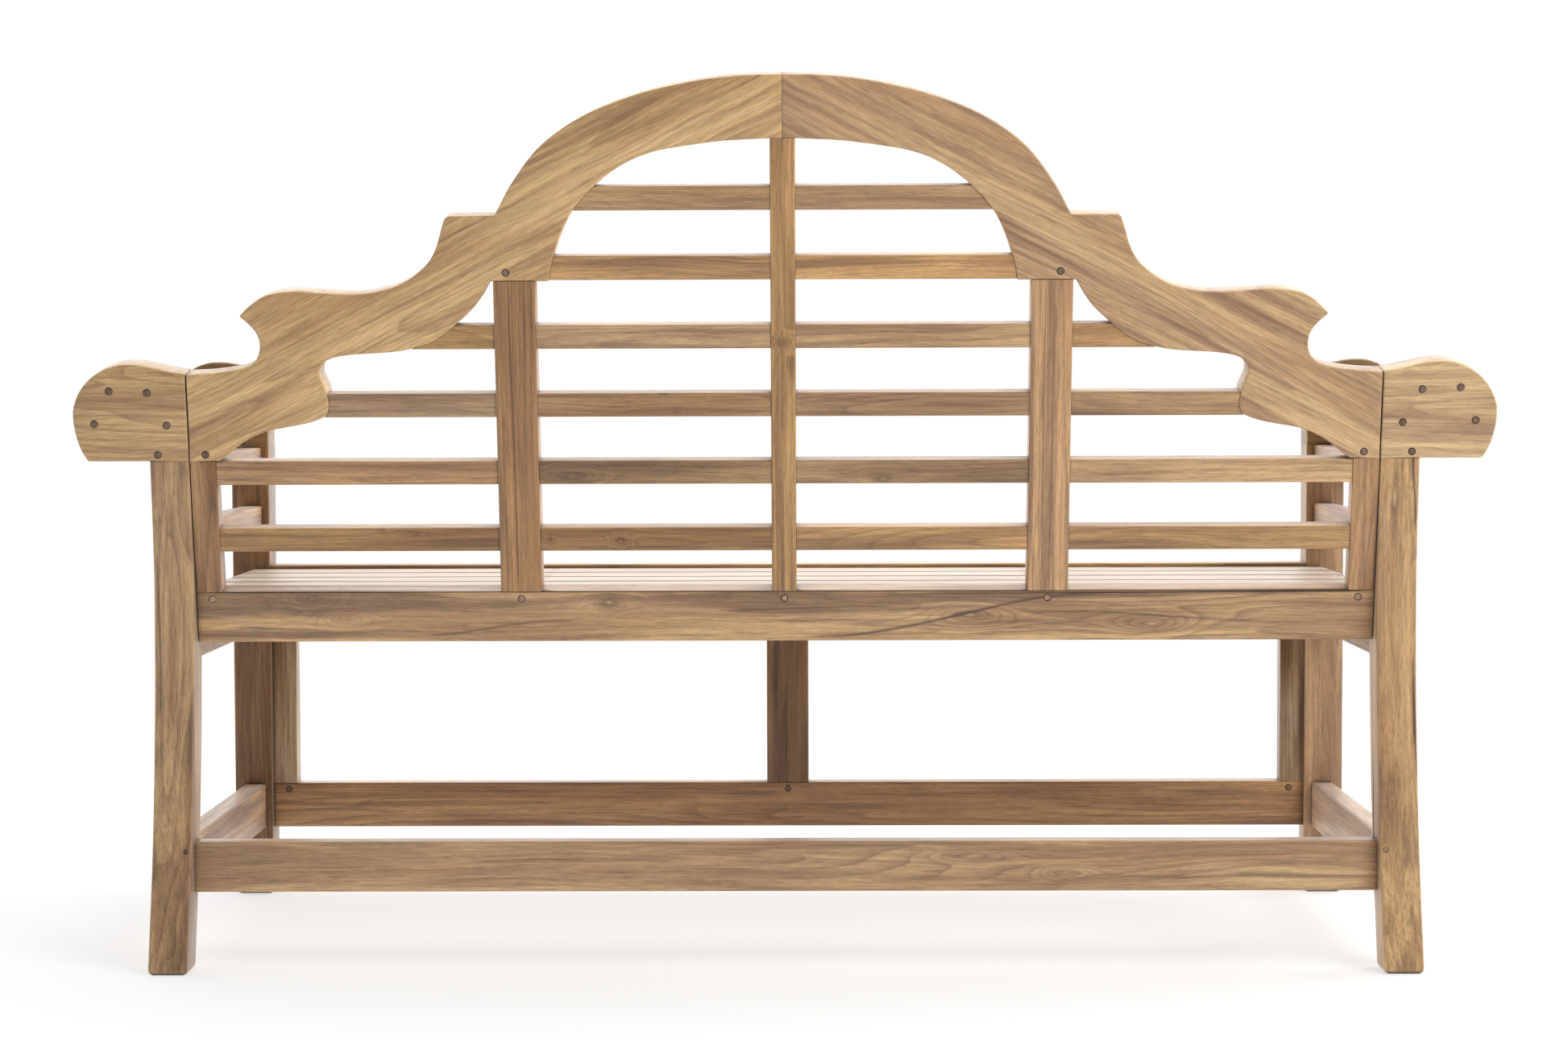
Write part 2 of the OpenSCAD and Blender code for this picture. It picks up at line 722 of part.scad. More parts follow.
module front_seat_rail() {
    color(tan_teak) difference() {
        front_rail_blank(front_rail_y, front_rail_z, bolts[2]);
        bearer_tenons(fit);
    }
}

module front_stretcher() {
    color(brown_teak) front_rail_blank(front_frame_y, stretcher_z, bolts[3]);
}

// ---------- seat ----------

function seat_slat_y(i) = seat_back_y - i * (seat_slat_w + seat_gap);
screw_x = [leg_x + 11, bearer_x];
screw_off = seat_slat_w / 2 - 18;

// Calls its children at every screw of one slat
module at_screws(i) {
    mid = seat_slat_y(i) - seat_slat_w / 2;
    for (sx = [-1, 1], x = screw_x, sy = [-1, 1])
        translate([sx * x, mid + sy * screw_off, seat_top]) children();
}

module screw(g = 0) {
    translate([0, 0, -plug_l - 36]) cylinder(d = screw_d + g, h = 33);
    translate([0, 0, -plug_l - 4]) cylinder(d = screw_head_d + g, h = 4);
}

module seat_slat(i) {
    y = seat_slat_y(i);
    color(pale_teak) difference() {
        box([-seat_hw, seat_hw], [y - seat_slat_w, y], [seat_top - seat_slat_t, seat_top]);
        at_screws(i) {
            translate([0, 0, -plug_l]) cylinder(d = plug_d + bore_fit, h = plug_l + 1);
            screw(bore_fit);
        }
    }
}

module seat_screw_bores() {
    for (i = [0:slat_count - 1]) at_screws(i) screw(bore_fit);
}

module bearer_tenons(g = 0) {
    z = [bearer_z[0] + 6, bearer_z[0] + 22];
    for (sx = [-1, 1]) hand(sx) {
        box([bearer_x - 12, bearer_x + 12], [rail_y - back_t - 14, rail_y - back_t + 10], z, g);
        box([bearer_x - 12, bearer_x + 12], [front_rail_y[1] - 14, front_rail_y[1] + 4], z, g);
    }
}

module seat_bearers() {
    color(tan_teak) difference() {
        union() {
            difference() {
                for (sx = [-1, 1]) hand(sx)
                    box([bearer_x - bearer_w / 2, bearer_x + bearer_w / 2], [front_rail_y[1], rail_y], bearer_z);
                on_back() translate([-1000, -back_t, -100]) cube([2000, 100, 200]);
            }
            bearer_tenons();
        }
        seat_screw_bores();
    }
}

// ---------- pegs and hardware ----------

module joint_pegs() {
    color(dark_teak) {
        on_back() back_peg(center_peg, peg_d);
        front_pegs(peg_d);
        for (side = [-1, 1]) hand(side) {
            on_back() for (p = back_pegs) back_peg(p, peg_d);
            rod_y(peg_d, [front_y, front_leg_y], arm_peg_x, front_arm_z + arm_peg_rise);
            side_pegs(peg_d);
            stretcher_pin(pin_d);
        }
    }
}

module dowels() {
    color(dark_teak) {
        on_back() crest_dowels(peg_d);
        for (side = [-1, 1]) hand(side) {
            rear_arm_dowels(peg_d);
            front_arm_dowels(peg_d);
        }
    }
}

module frame_bolts() {
    color(steel) for (side = [-1, 1]) hand(side) for (b = bolts) {
        seat = leg_x + b[0] - counterbore_l;
        difference() {
            union() {
                rod_x(bolt_d, [leg_x - b[3] + nut_d / 2 + 0.1, seat], b[1], b[2]);
                rod_x(bolt_head_d, [seat, seat + bolt_head_h], b[1], b[2]);
            }
            translate([seat + 3, b[1], b[2]]) rotate([0, 90, 0]) cylinder(d = 7, h = 6, $fn = 6);
        }
    }
}

module barrel_nuts() {
    half = nut_l / 2;
    color(steel) for (side = [-1, 1]) hand(side) {
        on_back() {
            translate([back_hw - bolt_reach, rail_bolt_y, rail_bolt_s - half]) cylinder(d = nut_d, h = nut_l);
            stile_nut_y = [-(stile_t + stile_nut_l) / 2, -(stile_t - stile_nut_l) / 2];
            rod_y(nut_d, stile_nut_y, leg_x - stile_bolt_reach, stile_bolt_s);
        }
        for (b = [bolts[2], bolts[3]])
            translate([leg_x - b[3], b[1], b[2] - half]) cylinder(d = nut_d, h = nut_l);
    }
}

module seat_screws() {
    color(steel) for (i = [0:slat_count - 1]) at_screws(i) screw();
}

module seat_plugs() {
    color(tan_teak) for (i = [0:slat_count - 1]) at_screws(i)
        translate([0, 0, -plug_l]) cylinder(d = plug_d, h = plug_l);
}

// ---------- the bench ----------

crest_rail(1);  // crest_rail_left
crest_rail(-1);  // crest_rail_right
back_stile(1);  // back_stile_left
back_stile(-1);  // back_stile_right
back_post(1);  // back_post_left
back_post(-1);  // back_post_right
back_muntin();
back_bottom_rail();
arch_slats(5);  // back_slats_row_1
arch_slats(4);  // back_slats_row_2
for (row = [3:6]) {
    outer_slat(6 - row, 1);
    inner_slat(6 - row, 1);
    inner_slat(6 - row, -1);
    outer_slat(6 - row, -1);
}
rear_leg(1);  // rear_leg_left
rear_leg(-1);  // rear_leg_right
front_leg(1);  // front_leg_left
front_leg(-1);  // front_leg_right
rear_arm_block(1);  // rear_arm_block_left
rear_arm_block(-1);  // rear_arm_block_right
front_arm_block(1);  // front_arm_block_left
front_arm_block(-1);  // front_arm_block_right
arm_staves(1);  // arm_staves_left
arm_staves(-1);  // arm_staves_right
arm_rails(1);  // arm_rails_left
arm_rails(-1);  // arm_rails_right
side_seat_rail(1);  // side_seat_rail_left
side_seat_rail(-1);  // side_seat_rail_right
side_stretcher(1);  // side_stretcher_left
side_stretcher(-1);  // side_stretcher_right
rear_stretcher();
front_seat_rail();
front_stretcher();
front_post(front_post_x);  // front_post_left
front_post(front_center_x);  // front_post_center
front_post([-front_post_x[1], -front_post_x[0]]);  // front_post_right
for (i = [0:slat_count - 1]) seat_slat(i);
seat_bearers();
joint_pegs();
dowels();
frame_bolts();
barrel_nuts();
seat_screws();
seat_plugs();
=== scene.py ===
"""Teak garden bench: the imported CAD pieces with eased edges, sawn-board figure and studio light."""

import json
import math
import random
from collections import namedtuple

import bmesh
import bpy
import numpy as np
from mathutils import Matrix, Vector
from mathutils.bvhtree import BVHTree


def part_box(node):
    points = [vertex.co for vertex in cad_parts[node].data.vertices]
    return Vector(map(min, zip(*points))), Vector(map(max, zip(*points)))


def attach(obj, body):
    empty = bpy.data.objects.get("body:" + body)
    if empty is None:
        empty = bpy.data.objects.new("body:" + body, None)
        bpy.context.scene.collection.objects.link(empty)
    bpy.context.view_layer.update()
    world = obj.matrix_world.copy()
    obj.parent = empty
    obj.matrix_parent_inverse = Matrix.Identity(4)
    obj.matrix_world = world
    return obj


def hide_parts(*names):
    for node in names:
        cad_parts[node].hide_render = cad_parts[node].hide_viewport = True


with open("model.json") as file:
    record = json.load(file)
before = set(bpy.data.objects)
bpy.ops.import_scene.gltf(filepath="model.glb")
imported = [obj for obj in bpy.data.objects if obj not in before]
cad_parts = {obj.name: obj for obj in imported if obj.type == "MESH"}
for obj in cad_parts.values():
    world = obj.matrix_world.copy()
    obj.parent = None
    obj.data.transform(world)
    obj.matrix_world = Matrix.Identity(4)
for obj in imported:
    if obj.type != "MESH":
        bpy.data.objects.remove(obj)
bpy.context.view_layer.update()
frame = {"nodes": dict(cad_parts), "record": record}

MM = 0.001
LEAN = math.radians(10)
CREST_GRAIN = math.radians(27)
X_AXIS, Y_AXIS, Z_AXIS = Vector((1, 0, 0)), Vector((0, 1, 0)), Vector((0, 0, 1))
BACK_UP = Vector((0, math.sin(LEAN), math.cos(LEAN)))

# Points closer than WELD are one point, and faces that turn by more than CORNER meet in an edge
WELD = 0.01 * MM
CORNER = math.radians(28)

# ---------------------------------------------------------------- boards and their grain

PEGS = ("joint_pegs", "dowels", "seat_plugs")
STEEL = ("frame_bolts", "barrel_nuts", "seat_screws")
FASTENERS = PEGS + STEEL
NODES = sorted(frame["nodes"])
TIMBER = [n for n in NODES if n not in FASTENERS]
SLOTS = {part["node"]: part["material_slot"] for part in frame["record"]["subparts"]}

# Radius of the eased edges, in millimetres, by the start of the node's name
EASED = {"crest": 2.4, "rear_arm": 2.4, "front_arm": 2.4, "back_slat": 2.2, "back": 2.4, "seat_slat": 2.6,
         "rear_leg": 2.6, "front_leg": 2.6, "arm": 2.4, "side": 2.4, "front": 2.4, "rear": 2.4, "seat": 1.5}
# Edges along the line of a joint are eased by this share of the radius
JOINT_LINE = 0.16

# How light each board is and how warm its colour, where it stands out from the rest. Some of the lightness is
# painted shade: boards that stand in shade, such as the front arm blocks, are made darker
TONES_AND_PAINTED_SHADE = {
    "crest_rail_left": (1.12, 0.1), "crest_rail_right": (1.02, -0.2),
    "rear_arm_block_left": (0.9, -0.1), "rear_arm_block_right": (1.12, -0.15),
    # Painted shade: the front arm blocks are darkened for the shade they are seen in
    "front_arm_block_left": (0.55, 0.0), "front_arm_block_right": (0.62, 0.0),
    "back_bottom_rail": (1.1, 0.0), "back_muntin": (0.86, 0.32),
    "back_post_left": (0.9, 0.23), "back_post_right": (1.29, 0.03),
    "back_stile_left": (0.85, 0.2), "back_stile_right": (1.26, 0.2),
    "back_slats_row_1": (0.95, -0.1), "back_slats_row_2": (1.24, 0.18),
    "back_slat_3_outer_left": (0.82, 0.3), "back_slat_3_outer_right": (1.05, 0.18),
    "back_slat_3_inner_left": (0.95, -0.12), "back_slat_3_inner_right": (1.08, -0.1),
    "back_slat_4_outer_left": (0.97, -0.3), "back_slat_4_outer_right": (0.9, -0.1),
    "back_slat_4_inner_left": (0.85, 0.0), "back_slat_4_inner_right": (0.93, -0.1),
    "back_slat_5_outer_left": (1.38, 0.0), "back_slat_5_outer_right": (1.21, -0.2),
    "back_slat_5_inner_left": (0.68, 0.0), "back_slat_5_inner_right": (0.79, -0.05),
    "back_slat_6_outer_left": (0.78, 0.25), "back_slat_6_outer_right": (0.99, 0.1),
    "back_slat_6_inner_left": (0.86, 0.3), "back_slat_6_inner_right": (1.08, 0.2),
    "rear_leg_left": (0.92, -0.15), "rear_leg_right": (1.08, 0.05), "rear_stretcher": (1.06, -0.1),
    "front_leg_left": (0.57, 0.3), "front_leg_right": (0.98, -0.1),
    "front_post_left": (1.05, -0.9), "front_post_center": (0.54, 0.1), "front_post_right": (0.86, -0.4),
    "front_stretcher": (1.07, 0.0),
}
ORDINARY = (1.0, 0.0)


def grain_of(name):
    """Directions along and across the grain of the board that the piece is cut from."""
    side = 1 if name.endswith("left") else -1
    if name.startswith("crest"):
        along = BACK_UP * math.sin(CREST_GRAIN) - X_AXIS * side * math.cos(CREST_GRAIN)
        across = BACK_UP * math.cos(CREST_GRAIN) + X_AXIS * side * math.sin(CREST_GRAIN)
        return along, across
    if name.startswith(("back_stile", "back_post", "back_muntin")):
        return BACK_UP, X_AXIS
    if name.startswith("back"):
        return X_AXIS, BACK_UP
    if "leg" in name or name.startswith("front_post"):
        return Z_AXIS, X_AXIS
    if name.startswith("seat_slat"):
        return X_AXIS, Y_AXIS
    if name.startswith(("arm_", "side_", "seat_bearers")):
        return Y_AXIS, X_AXIS
    return X_AXIS, Z_AXIS


def setting(table, name, other):
    """The value of the longest key that the name starts with."""
    keys = [k for k in table if name.startswith(k)]
    return table[max(keys, key=len)] if keys else other


# ---------------------------------------------------------------- solids


def clean_solid(node):
    """The node's solids as a bmesh with whole flat faces."""
    bm = bmesh.new()
    bm.from_mesh(frame["nodes"][node].data)
    bmesh.ops.remove_doubles(bm, verts=bm.verts, dist=WELD)
    bmesh.ops.dissolve_limit(bm, angle_limit=math.radians(0.3), verts=bm.verts, edges=bm.edges)
    bm.normal_update()
    return bm


def islands(mesh):
    """The separate solids of a mesh, as lists of vertex numbers."""
    parent = list(range(len(mesh.vertices)))

    def root(i):
        while parent[i] != i:
            parent[i] = parent[parent[i]]
            i = parent[i]
        return i

    for e in mesh.edges:
        a, b = root(e.vertices[0]), root(e.vertices[1])
        parent[a] = b
    groups = {}
    for i in range(len(parent)):
        groups.setdefault(root(i), []).append(i)
    return [groups[k] for k in sorted(groups)]


def inside(tree, point):
    """Counts the surfaces between the point and far away. The ray's slant keeps it off the boards' edges."""
    ray = Vector((0.1357, 0.2713, 0.9529)).normalized()
    step_past, most_hits = 0.01 * MM, 40
    hits, start = 0, point.copy()
    while hits < most_hits:
        hit = tree.ray_cast(start, ray)[0]
        if hit is None:
            break
        hits += 1
        start = hit + ray * step_past
    return hits % 2 == 1


class Solids:
    """Every node as a closed surface, to ask whether a point is inside another piece."""

    def __init__(self, bms):
        self.trees = {}
        for name, bm in bms.items():
            lo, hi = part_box(name)
            self.trees[name] = (BVHTree.FromBMesh(bm), lo, hi)

    def holds(self, point, skip):
        for name, (tree, lo, hi) in self.trees.items():
            if name == skip or any(not a <= p <= b for a, p, b in zip(lo, point, hi)):
                continue
            if inside(tree, point):
                return True
        return False


def cylinders(nodes):
    """Middle, axis, half length and radius of every peg, dowel, plug, screw, bolt and nut."""
    found = []
    for node in nodes:
        bm = bmesh.new()
        bm.from_mesh(frame["nodes"][node].data)
        bmesh.ops.remove_doubles(bm, verts=bm.verts, dist=WELD)
        welded = bpy.data.meshes.new("welded")
        bm.to_mesh(welded)
        bm.free()
        points = np.array([v.co for v in welded.vertices])
        for group in islands(welded):
            p = points[group]
            middle = p.mean(0)
            axis = np.linalg.svd(p - middle, full_matrices=False)[2][0]
            along = (p - middle) @ axis
            middle = middle + axis * (along.max() + along.min()) / 2
            along = (p - middle) @ axis
            spread = np.linalg.norm((p - middle) - np.outer(along, axis), axis=1)
            found.append((middle, axis, along.max(), spread.max()))
        bpy.data.meshes.remove(welded)
    return found


def near_bore(point, rods):
    """True if the point is on the wall or rim of a bore, which may run on past the end of its rod."""
    past_end, clearance = 45 * MM, 1.0 * MM
    p = np.array(point)
    for middle, axis, half, radius in rods:
        d = p - middle
        along = d @ axis
        if abs(along) < half + past_end and np.linalg.norm(d - along * axis) < radius + clearance:
            return True
    return False


def edge_weight(point, normals, solids, name):
    """1 on a free edge, a little on the line of a joint, 0 where the edge is hidden."""
    a, b = (n * MM for n in normals)
    touch_a = solids.holds(point + a - b, name)
    touch_b = solids.holds(point + b - a, name)
    if touch_a and touch_b:
        return 0.0
    if touch_a or touch_b:
        return JOINT_LINE
    return 0.0 if solids.holds(point + a + b, name) else 1.0


def weigh_edges(bm, name, solids, rods):
    """Splits long edges where a joint begins and gives each stretch its bevel weight."""
    layer = bm.edges.layers.float.new("bevel_weight_edge")
    step = 6 * MM
    for e in list(bm.edges):
        if not e.is_manifold or not e.is_convex or e.calc_face_angle() < CORNER:
            continue
        a, b = e.verts[0].co.copy(), e.verts[1].co.copy()
        if near_bore(a, rods) and near_bore(b, rods):
            continue
        normals = [f.normal.copy() for f in e.link_faces]
        count = max(1, round((b - a).length / step))
        weights = [edge_weight(a.lerp(b, (k + 0.5) / count), normals, solids, name) for k in range(count)]
        cuts = [k / count for k in range(1, count) if weights[k] != weights[k - 1]]
        piece, start, at = e, e.verts[0], 0.0
        e[layer] = weights[0]
        for cut in cuts:
            vert = bmesh.utils.edge_split(piece, start, (cut - at) / (1 - at))[1]
            first, rest = sorted(vert.link_edges, key=lambda x: x.other_vert(vert) is not start)
            middle = round(cut * count)
            rest[layer] = weights[middle]
            first[layer] = weights[middle - 1]
            piece, start, at = rest, vert, cut
    for e in bm.edges:
        if e.is_manifold and e[layer] == 0 and e.calc_face_angle() > CORNER:
            e.smooth = False


def eased_mesh(bm, name, radius):
    """A mesh with its weighted edges rounded. Vertices in the middle of a rounded edge are marked for a
    painted highlight.
    """
    mesh = bpy.data.meshes.new(name)
    for f in bm.faces:
        f.smooth = True
    bm.to_mesh(mesh)
    bm.free()
    shell = bpy.data.objects.new("easing", mesh)
    bpy.context.scene.collection.objects.link(shell)
    mesh.materials.append(None)
    mesh.materials.append(None)
    bevel = shell.modifiers.new("eased", "BEVEL")
    bevel.limit_method = "WEIGHT"
    bevel.width = radius
    bevel.segments = 3
    bevel.use_clamp_overlap = False
    bevel.harden_normals = True
    bevel.material = 1
    bpy.context.view_layer.update()
    done = bpy.data.meshes.new_from_object(shell.evaluated_get(bpy.context.evaluated_depsgraph_get()))
    done.name = name
    bpy.data.objects.remove(shell)
    bpy.data.meshes.remove(mesh)
    return done


def painted_edge_highlight_points(mesh):
    """1 for each vertex whose faces all belong to a rounded edge."""
    painted_edge_highlight = np.ones(len(mesh.vertices))
    for f in mesh.polygons:
        if f.material_index == 0:
            for v in f.vertices:
                painted_edge_highlight[v] = 0
        f.material_index = 0
    return painted_edge_highlight


def store(mesh, name, kind, values):
    layer = mesh.attributes.new(name, kind, "POINT")
    field = "vector" if kind == "FLOAT_VECTOR" else "value"
    layer.data.foreach_set(field, np.ravel(values).astype(np.float32))


def mark_boards(mesh, name, rng):
    """Stores where each point lies in its board: along, across and through the grain."""
    along, across = grain_of(name)
    through = along.cross(across)
    points = np.array([v.co for v in mesh.vertices])
    local = points @ np.array([along, across, through]).T
    shift = np.zeros_like(local)
    light = np.zeros(len(points))
    warm = np.zeros(len(points))
    # The lightness holds each board's tone and, for some boards, painted shade
    tone_and_shade = TONES_AND_PAINTED_SHADE.get(name, ORDINARY)
    for group in islands(mesh):
        shift[group] = [rng.uniform(2, 40) for _ in range(3)]
        light[group] = tone_and_shade[0] * rng.uniform(0.97, 1.03)
        warm[group] = tone_and_shade[1] + rng.uniform(-0.1, 0.1)
    store(mesh, "board", "FLOAT_VECTOR", local + shift)
    store(mesh, "spot", "FLOAT_VECTOR", local - (local.min(0) + local.max(0)) / 2)
    store(mesh, "light", "FLOAT", light)
    store(mesh, "warm", "FLOAT", warm)
    store(mesh, "painted_edge_highlight", "FLOAT", painted_edge_highlight_points(mesh))


def put_in_place(mesh, name, piece_name):
    """The mesh takes the place of the CAD's node."""
    piece = bpy.data.objects.new(piece_name, mesh)
    bpy.context.scene.collection.objects.link(piece)
    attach(piece, "root")
    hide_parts(name)
    mesh.materials.clear()
    mesh.materials.append(OWN_TEAK.get(name, MATERIALS[SLOTS[name]]))


def timber_piece(name, bm, solids, rods, rng):
    weigh_edges(bm, name, solids, rods)
    mesh = eased_mesh(bm, name + "_board", setting(EASED, name, 2.0) * MM)
    mark_boards(mesh, name, rng)
    put_in_place(mesh, name, name + "_board")


def peg_light(place):
    """How light a peg is. The plugs of the seat and the pegs of the bottom rail are near the colour of their
    boards, and two pegs on the right are pale."""
    x, y, z = place
    in_seat = 0.43 < z < 0.4385 and y < 0.21
    in_crest_or_arms = z > 0.46
    in_front = y < 0
    in_left_leg = x > 0 and z < 0.3
    at_right_end = x < -0.6
    if in_seat:
        return 1.8
    if in_crest_or_arms or in_front or in_left_leg:
        return 1.0
    return 2.6 if at_right_end else 1.5


def whittled_peg(bm, rod, rng, lights):
    """A peg pared to shape with a knife: six soft sides, and an end that is a little rounded."""
    middle, axis, half, radius = rod
    along = Vector(axis)
    across = along.orthogonal().normalized()
    through = along.cross(across)
    turn, squash = rng.uniform(0, 6), rng.uniform(0.90, 0.98)
    points_round = 30
    stations = ((-1.0, 0.80), (-0.975, 0.96), (-0.9, 1.0), (0.9, 1.0), (0.975, 0.96), (1.0, 0.80))
    rings = []
    for at, width in stations:
        ring = []
        for k in range(points_round):
            a = 2 * math.pi * k / points_round
            uneven = 0.965 + 0.03 * math.cos(6 * a + turn) + 0.02 * math.cos(2 * a - turn)
            r = radius * width * squash * uneven
            way = across * math.cos(a) * r + through * math.sin(a) * r
            ring.append(bm.verts.new(Vector(middle) + along * half * at + way))
        rings.append(ring)
    for low, high in zip(rings, rings[1:]):
        for k in range(points_round):
            bm.faces.new((low[k - 1], low[k], high[k], high[k - 1]))
    bm.faces.new(reversed(rings[0]))
    bm.faces.new(rings[-1])
    lights += [rng.uniform(0.8, 1.15) * peg_light(middle)] * (points_round * len(stations))


def peg_piece(name, rng):
    bm = bmesh.new()
    lights = []
    for rod in cylinders([name]):
        whittled_peg(bm, rod, rng, lights)
    mesh = bpy.data.meshes.new(name + "_whittled")
    for f in bm.faces:
        f.smooth = len(f.verts) == 4
    bm.to_mesh(mesh)
    bm.free()
    points = np.array([v.co for v in mesh.vertices])
    # The grain runs upright, and three times as fine as in a board
    store(mesh, "board", "FLOAT_VECTOR", points[:, [2, 0, 1]] * 3)
    store(mesh, "spot", "FLOAT_VECTOR", points)
    store(mesh, "light", "FLOAT", np.array(lights))
    store(mesh, "warm", "FLOAT", np.zeros(len(points)))
    store(mesh, "painted_edge_highlight", "FLOAT", np.zeros(len(points)))
    put_in_place(mesh, name, name + "_whittled")


# ---------------------------------------------------------------- materials


class Tree:
    """Builds one material's nodes with few words."""

    def __init__(self, name):
        self.material = bpy.data.materials.new(name)
        self.material.use_nodes = True
        self.nodes = self.material.node_tree.nodes
        self.links = self.material.node_tree.links
        self.nodes.clear()

    def put(self, socket, value):
        if isinstance(value, bpy.types.NodeSocket):
            self.links.new(value, socket)
        else:
            socket.default_value = value

    def add(self, kind, inputs=(), output=0, **settings):
        node = self.nodes.new(kind)
        for key, value in settings.items():
            setattr(node, key, value)
        for key, value in dict(inputs).items():
            self.put(node.inputs[key], value)
        return node.outputs[output]

    def math(self, operation, a, b=0.0, clamp=False):
        return self.add("ShaderNodeMath", {0: a, 1: b}, operation=operation, use_clamp=clamp)

    def plus(self, a, b):
        return self.math("ADD", a, b)

    def minus(self, a, b):
        return self.math("SUBTRACT", a, b)

    def times(self, first, *factors):
        for factor in factors:
            first = self.math("MULTIPLY", first, factor)
        return first

    def times_plus(self, a, b, c):
        return self.add("ShaderNodeMath", {0: a, 1: b, 2: c}, operation="MULTIPLY_ADD")

    def share(self, value, start, length):
        return self.math("DIVIDE", self.minus(value, start), length)

    def bell(self, squared, steepness):
        """1 where the squared distance is 0, falling to 0 far away."""
        return self.math("EXPONENT", self.times(squared, -steepness))

    def shelter(self, distance, samples):
        """1 in the open, towards 0 where other surfaces are nearer than the distance."""
        inputs = {"Distance": distance}
        return self.add("ShaderNodeAmbientOcclusion", inputs, output="AO", samples=samples)

    def parts(self, vector):
        return self.add("ShaderNodeSeparateXYZ", {0: vector}).node.outputs[:]

    def scaled(self, vector, scale):
        return self.add("ShaderNodeVectorMath", {0: vector, 1: scale}, operation="MULTIPLY")

    def noise(self, vector, scale, detail=2.0, rough=0.5):
        inputs = {"Vector": self.scaled(vector, scale), "Scale": 1.0, "Detail": detail, "Roughness": rough}
        return self.add("ShaderNodeTexNoise", inputs)

    def span(self, value, low, high, to_low=0.0, to_high=1.0):
        inputs = {"Value": value, "From Min": low, "From Max": high, "To Min": to_low, "To Max": to_high}
        return self.add("ShaderNodeMapRange", inputs, clamp=True, interpolation_type="SMOOTHSTEP")

    def mix(self, factor, a, b, blend="MIX"):
        node = self.nodes.new("ShaderNodeMix")
        node.data_type = "RGBA"
        node.blend_type = blend
        for key, value in ((0, factor), (6, a), (7, b)):
            self.put(node.inputs[key], value)
        return node.outputs[2]

    def attribute(self, name, output="Vector"):
        return self.add("ShaderNodeAttribute", output=output, attribute_name=name)

    def finish(self, **inputs):
        shader = self.nodes.new("ShaderNodeBsdfPrincipled")
        for key, value in inputs.items():
            self.put(shader.inputs[key.replace("_", " ")], value)
        out = self.nodes.new("ShaderNodeOutputMaterial")
        self.links.new(shader.outputs[0], out.inputs[0])
        return self.material


def color(r, g, b):
    return (r, g, b, 1.0)


# A knot and a dark line in a board, in metres from the middle of the piece
Eye = namedtuple("Eye", "along across half_length half_width darkness")
Vein = namedtuple("Vein", "start end half_width darkness")


def wavy(t, board, figure, eyes, veins):
    """The board's coordinates with waves in them, and the lines parted round each eye. Also returns how far
    each point is inside an eye, and how dark the eyes and veins make it."""
    sway = t.noise(board, (4.5 * figure, 9, 9), 1.0)
    along, straight, through = t.parts(board)
    across = t.times_plus(sway, 0.016 * figure, straight)
    spot_along, spot_across = t.parts(t.attribute("spot"))[:2]
    swell, stain = 0.0, 0.0
    for eye in eyes:
        u = t.share(spot_along, eye.along, eye.half_length)
        v = t.share(spot_across, eye.across, eye.half_width)
        near = t.plus(t.times(u, u), t.times(v, v))
        inside_eye = t.bell(near, 1.0)
        core = t.bell(near, 3.5)
        pupil = t.bell(near, 60.0)
        across = t.plus(across, t.times(inside_eye, v, -0.8 * eye.half_width))
        swell = t.plus(swell, inside_eye)
        stain = t.plus(stain, t.times(core, eye.darkness))
        stain = t.minus(stain, t.times(pupil, 1.2 * eye.darkness))
    vein_sway = 0.012
    for vein in veins:
        (start, start_level), (end, end_level) = vein.start, vein.end
        u = t.share(spot_along, start, end - start)
        level = t.times_plus(t.span(u, 0, 1), end_level - start_level, start_level - vein_sway / 2)
        level = t.plus(level, t.times(sway, vein_sway))
        v = t.share(spot_across, level, vein.half_width)
        ends = t.times(t.span(u, -0.1, 0.1), t.span(u, 0.9, 1.1, 1, 0))
        line = t.times(t.bell(t.times(v, v), 1.0), ends)
        stain = t.plus(stain, t.times(line, vein.darkness))
    place = t.add("ShaderNodeCombineXYZ", {0: along, 1: across, 2: through})
    return place, swell, stain


